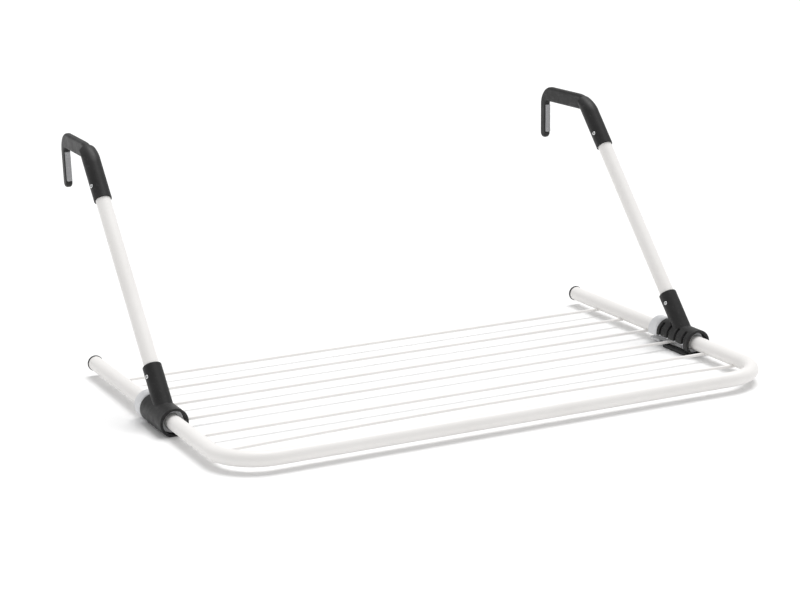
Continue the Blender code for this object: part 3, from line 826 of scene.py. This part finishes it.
def arm_bar(side):
    start = SOCKET_FLOOR + GAP
    end = HOOK_SOCKET_FLOOR - GAP
    bore = TUBE_RADIUS - TUBE_WALL
    outline = [(TUBE_RADIUS, start), (TUBE_RADIUS, end), (bore, end), (bore, start)]
    name = "arm_bar_" + side
    bm = turned(outline, ring=True)
    mesh = mesh_of(name, bm, hinge_place(side) @ inward_lean(side) @ up_the_arm())
    return finished(name, mesh, powder_coat, "arm_" + side, "arm_tube_" + side)


for side in SIDES:
    arm_bar(side)

# %% [markdown]
# ## The hook
# The hook starts as a round socket that grips the arm. At the bend it is shaped down to a flat blade, 9 mm
# thick, which reaches back over the rail and turns down into the lip. A crease marks where the round part
# ends. The blade is its side outline drawn out sideways with softened rims. The socket keeps only what it
# shares with a fat bar that follows the bend, which rounds its crown, and is cut off level where the blade
# takes over.

# %% Hook sizes and outline
HOOK_SOCKET_RADIUS = 10.8 * MILLIMETRE
HOOK_SOCKET_START = 0.290
HOOK_UNDERSIDE = 0.2558
HOOK_THICKNESS = 19.8 * MILLIMETRE
HOOK_TOP = HOOK_UNDERSIDE + HOOK_THICKNESS
GRIP_WIDTH = 92.5 * MILLIMETRE
BLADE_WIDTH = 9.0 * MILLIMETRE
BLADE_ROUNDING = 3.4 * MILLIMETRE
BEND_OUTER_RADIUS = 56.0 * MILLIMETRE
BACK_CORNER_RADIUS = 25.0 * MILLIMETRE
INNER_CORNER_RADIUS = 4.0 * MILLIMETRE
LIP_THICKNESS = 13.5 * MILLIMETRE
LIP_LENGTH = 50.5 * MILLIMETRE
CROWN_RADIUS = 11.8 * MILLIMETRE
TONGUE_INSET = 3.0 * MILLIMETRE
TONGUE_LENGTH = 8.0 * MILLIMETRE
CREASE_Y = (HOOK_UNDERSIDE * math.sin(ARM_LEAN) + HOOK_SOCKET_RADIUS) / math.cos(ARM_LEAN)
LIP_FACE_Y = CREASE_Y + GRIP_WIDTH
BACK_Y = LIP_FACE_Y + LIP_THICKNESS
LIP_TIP_Z = HOOK_UNDERSIDE - LIP_LENGTH


def bend_middle():
    tangent = BEND_OUTER_RADIUS * math.tan((math.pi / 2 - ARM_LEAN) / 2)
    crest = (HOOK_TOP * math.sin(ARM_LEAN) - HOOK_SOCKET_RADIUS) / math.cos(ARM_LEAN)
    return (crest + tangent, HOOK_TOP - BEND_OUTER_RADIUS)


def blade_outline():
    """Side outline of the blade as (y, z), with a tongue that runs into the solid socket."""
    ridge = CREASE_Y - GAP
    centre = bend_middle()
    crown = centre[1] + math.sqrt(BEND_OUTER_RADIUS**2 - (ridge - centre[0]) ** 2)
    start = math.degrees(math.atan2(crown - centre[1], ridge - centre[0]))
    back_corner = (BACK_Y - BACK_CORNER_RADIUS, HOOK_TOP - BACK_CORNER_RADIUS)
    tip = (BACK_Y - LIP_THICKNESS / 2, LIP_TIP_Z + LIP_THICKNESS / 2)
    inner = (LIP_FACE_Y - INNER_CORNER_RADIUS, HOOK_UNDERSIDE - INNER_CORNER_RADIUS)
    outline = corner_arc(centre, BEND_OUTER_RADIUS, start, 90.0, 8)
    outline += corner_arc(back_corner, BACK_CORNER_RADIUS, 90.0, 0.0, 24)
    outline += corner_arc(tip, LIP_THICKNESS / 2, 0.0, -180.0, 24)
    outline += corner_arc(inner, INNER_CORNER_RADIUS, 0.0, 90.0, 8)
    tongue = ridge - TONGUE_LENGTH
    outline += [(ridge, HOOK_UNDERSIDE), (ridge, HOOK_UNDERSIDE + TONGUE_INSET)]
    outline += [(tongue, HOOK_UNDERSIDE + 2 * TONGUE_INSET), (tongue, crown - 2 * TONGUE_INSET)]
    outline.append((ridge, crown - TONGUE_INSET))
    return outline


print("blade outline has", len(blade_outline()), "points")

# %% [markdown]
# ## Shaping the hook
# The blade's rims are the edges of its two large faces. They are beveled in the mesh, apart from those of
# the hidden tongue, so that the rounding is even and almost makes the blade's top a half round. The crown
# bar is a circle swept along the bend: it is drawn up the arm, swung round the bend's middle and drawn on
# level, in the same way as the frame tube.

# %% Hook shapes
ACROSS = (-1.0, 0.0, 0.0)
CROWN_LEAD = 4.0 * MILLIMETRE
CROWN_OVERRUN = 30.0 * MILLIMETRE
HOOK_CUT_REACH = 0.1


def hook_blade():
    half = BLADE_WIDTH / 2
    bm = bmesh.new()
    face = bm.faces.new([bm.verts.new((-half, y, z)) for y, z in blade_outline()])
    made = bmesh.ops.extrude_face_region(bm, geom=[face])["geom"]
    points = [item for item in made if isinstance(item, bmesh.types.BMVert)]
    bmesh.ops.translate(bm, vec=(2.0 * half, 0.0, 0.0), verts=points)
    bmesh.ops.recalc_face_normals(bm, faces=bm.faces)
    shown = CREASE_Y - 2.0 * GAP
    rims = [edge for edge in bm.edges if max(len(face.verts) for face in edge.link_faces) > 4]
    rims = [edge for edge in rims if all(vert.co.y > shown for vert in edge.verts)]
    return rounded_edges(bm, rims, BLADE_ROUNDING, 6)


def crown_bar():
    centre = bend_middle()
    inset = CROWN_RADIUS - HOOK_SOCKET_RADIUS
    start = point_on_arm(HOOK_SOCKET_START - CROWN_LEAD)
    start.y += inset * math.cos(ARM_LEAN)
    start.z -= inset * math.sin(ARM_LEAN)
    middle_line = BEND_OUTER_RADIUS - CROWN_RADIUS
    bend_y = centre[0] - middle_line * math.cos(ARM_LEAN)
    bend_z = centre[1] + middle_line * math.sin(ARM_LEAN)
    bm = bmesh.new()
    rim = circle_of_edges(bm, CROWN_RADIUS, Matrix.Translation(start) @ up_the_arm())
    rim = drawn_along(bm, rim, Vector((0.0, bend_y, bend_z)) - start)
    rim = swung_round(bm, rim, (0.0, *centre), ACROSS, math.pi / 2 - ARM_LEAN, 20)
    drawn_along(bm, rim, Vector((0.0, CREASE_Y + CROWN_OVERRUN - centre[0], 0.0)))
    bmesh.ops.holes_fill(bm, edges=[edge for edge in bm.edges if edge.is_boundary])
    return bm


def hook_socket():
    """The round socket, rounded off at its crown and cut level at the crease."""
    end = CREASE_Y / math.sin(ARM_LEAN) + 2.0 * HOOK_SOCKET_RADIUS
    rim = rounded_rim(HOOK_SOCKET_RADIUS, HOOK_SOCKET_START, 0.8 * MILLIMETRE, 4)
    bm = moved(turned(rim + [(HOOK_SOCKET_RADIUS, end)]), up_the_arm())
    low = (-CUT_HALF_WIDTH, CREASE_Y, HOOK_UNDERSIDE - HOOK_CUT_REACH)
    high = (CUT_HALF_WIDTH, CREASE_Y + HOOK_CUT_REACH, HOOK_TOP + HOOK_CUT_REACH)
    mesh = carved("socket", bm, [("INTERSECT", crown_bar()), ("DIFFERENCE", block(low, high))])
    holder = bpy.data.objects.new("socket", mesh)
    bpy.context.scene.collection.objects.link(holder)
    return holder


# %% Hooks
PAD_WIDTH = 6.3 * MILLIMETRE
PAD_PROUD = 2.0 * MILLIMETRE
PAD_SEAT = 2.0 * MILLIMETRE
PAD_TOP_GAP = 5.0 * MILLIMETRE
PAD_BOTTOM_GAP = 8.5 * MILLIMETRE


def top_hook(side):
    place = hinge_place(side) @ inward_lean(side) @ hook_twist(side)
    seat_half = PAD_WIDTH / 2 + GAP
    seat_low = (-seat_half, LIP_FACE_Y - 3.0 * MILLIMETRE, LIP_TIP_Z + PAD_BOTTOM_GAP - GAP)
    seat_high = (seat_half, LIP_FACE_Y + PAD_SEAT, HOOK_UNDERSIDE - PAD_TOP_GAP + GAP)
    rivet_way = hook_twist(side).inverted() @ rivet_turn() @ across_the_arm(UPPER_RIVET)
    well = bar(TUBE_RADIUS + GAP, HOOK_SOCKET_START - CUT_MARGIN, HOOK_SOCKET_FLOOR, up_the_arm())
    steps = [("UNION", hook_socket())]
    steps += [("DIFFERENCE", cut) for cut in (well, block(seat_low, seat_high), rivet_hole(rivet_way))]
    name = "top_hook_" + side
    mesh = carved(name, hook_blade(), steps, 0.3 * MILLIMETRE)
    mesh.transform(place)
    return finished(name, mesh, dark_plastic, "arm_" + side, "hook_" + side)


for side in SIDES:
    top_hook(side)

# %% [markdown]
# ## The lip pads
# A strip of soft rubber is pressed into a seat inside each lip, so that the hook doesn't scratch a door. It
# stands two millimetres proud, and its edges are rounded. Fine ribs across it give it grip: the block is
# sliced into short lengths with bisect_plane, and every other ring of points is drawn in by a fifth of a
# millimetre.

# %% Lip pads
RIB_COUNT = 18
RIB_DEPTH = 0.22 * MILLIMETRE
PLAIN_END = 3.0 * MILLIMETRE


def lip_pad(side):
    half = PAD_WIDTH / 2
    face = LIP_FACE_Y - PAD_PROUD
    bottom = LIP_TIP_Z + PAD_BOTTOM_GAP
    top = HOOK_UNDERSIDE - PAD_TOP_GAP
    bm = block((-half, face, bottom), (half, LIP_FACE_Y + PAD_SEAT - GAP, top))
    rounded_edges(bm, bm.edges[:], 0.9 * MILLIMETRE, 4)
    pitch = (top - bottom - 2 * PLAIN_END) / (2 * RIB_COUNT)
    for i in range(2 * RIB_COUNT + 1):
        height = bottom + PLAIN_END + i * pitch
        everything = bm.verts[:] + bm.edges[:] + bm.faces[:]
        bmesh.ops.bisect_plane(bm, geom=everything, plane_co=(0.0, 0.0, height), plane_no=UPRIGHT)
        if i % 2:
            ring = [v for v in bm.verts if abs(v.co.z - height) < 1e-6 and v.co.y < face + 1.0 * MILLIMETRE]
            bmesh.ops.translate(bm, vec=(0.0, RIB_DEPTH, 0.0), verts=ring)
    name = "lip_pad_" + side
    mesh = mesh_of(name, bm, hinge_place(side) @ inward_lean(side) @ hook_twist(side))
    return finished(name, mesh, pad_rubber, "arm_" + side, "hook_pad_" + side, 60.0)


for side in SIDES:
    lip_pad(side)

# %% [markdown]
# ## The rivets
# A tubular rivet goes right through each socket and the arm. Its head is a low dome round a hollow end, so
# it reads as a bright ring with a dark middle. The outline is half of the rivet, mirrored about its middle.

# %% Rivets
RIVET_SHANK = 1.4 * MILLIMETRE
RIVET_FACETS = 32


def rivet_half(socket_radius):
    """From the middle of the shank out to the bottom of the hollow end, as (radius, height)."""
    seat = socket_radius + GAP
    dome = [(2.4, 0.00), (2.4, 0.22), (2.3, 0.42), (2.1, 0.60), (1.85, 0.72), (1.6, 0.78)]
    hollow = [(1.35, 0.74), (1.15, 0.60), (1.03, 0.40), (1.0, 0.10), (1.0, -2.2)]
    head = [(radius * MILLIMETRE, seat + height * MILLIMETRE) for radius, height in dome + hollow]
    return [(RIVET_SHANK, 0.0), (RIVET_SHANK, seat)] + head


def rivet(side, level, distance, socket_radius):
    half = rivet_half(socket_radius)
    outline = [(radius, -height) for radius, height in reversed(half)] + half[1:]
    place = hinge_place(side) @ inward_lean(side) @ rivet_turn() @ across_the_arm(distance)
    name = level + "_ring_rivet_" + side
    mesh = mesh_of(name, turned(outline, RIVET_FACETS), place)
    return finished(name, mesh, rivet_steel, "arm_" + side, level + "_rivet_" + side)


for side in SIDES:
    rivet(side, "lower", LOWER_RIVET, SOCKET_RADIUS)
    rivet(side, "upper", UPPER_RIVET, HOOK_SOCKET_RADIUS)

# %% [markdown]
# ## The floor
# The rack stands on the flat feet of its two sleeves, and the front bar stays a few millimetres above the
# floor, since the arms lean back and keep the balance. So the bar's shadow is soft and a little apart from
# it, while the sleeves' shadows touch them. The floor is plain pale paper, and part of the stage, not of
# the object.

# %% Floor
FLOOR_HALF_SIZE = 25.0
FLOOR_CLEARANCE = 0.2 * MILLIMETRE


def pale_floor():
    bm = bmesh.new()
    bmesh.ops.create_grid(bm, x_segments=2, y_segments=2, size=FLOOR_HALF_SIZE)
    mesh = bpy.data.meshes.new("pale_floor")
    bm.to_mesh(mesh)
    bm.free()
    floor = bpy.data.objects.new("pale_floor", mesh)
    floor.location = (0.0, 0.0, -FLOOR_CLEARANCE)
    finish, shader = new_finish("pale_paper", 0.9)
    fibres = graded(finish, grain(finish, 300.0, 3.0), 0.3, 0.7, 0.0, 1.0)
    colour_node(finish, colour_blend(finish, fibres, (0.93, 0.93, 0.93), (0.94, 0.94, 0.94)))
    shader.inputs["Specular IOR Level"].default_value = 0.1
    mesh.materials.append(finish)
    bpy.context.scene.collection.objects.link(floor)


pale_floor()
print("floor is level at z =", -FLOOR_CLEARANCE)

# %% [markdown]
# ## The light
# Plain studio light: a pale surround, and one broad light from high on the right and a little behind, whose
# wide angle keeps every shadow soft. A sun lamp lights the whole floor evenly, which a soft box nearby
# wouldn't. The view transform is the plain one, so that the white floor comes out white and the charcoal
# stays dark.

# %% Light
def broad_light(name, towards, power, spread):
    data = bpy.data.lights.new(name, "SUN")
    data.energy = power
    data.angle = math.radians(spread)
    light = bpy.data.objects.new(name, data)
    light.rotation_euler = Vector(towards).to_track_quat("-Z", "Y").to_euler()
    bpy.context.scene.collection.objects.link(light)


def pale_surround(strength):
    world = bpy.data.worlds.new("pale_surround")
    world.use_nodes = True
    background = world.node_tree.nodes["Background"]
    background.inputs["Color"].default_value = (1.0, 1.0, 1.0, 1.0)
    background.inputs["Strength"].default_value = strength
    bpy.context.scene.world = world


SURROUND_STRENGTH = 0.65
LIGHT_DIRECTION = (-0.30, -0.22, -1.0)
LIGHT_STRENGTH = 1.95
LIGHT_SPREAD = 38.0

pale_surround(SURROUND_STRENGTH)
broad_light("high_right", LIGHT_DIRECTION, LIGHT_STRENGTH, LIGHT_SPREAD)
bpy.context.scene.view_settings.view_transform = "Standard"
print("lights set")
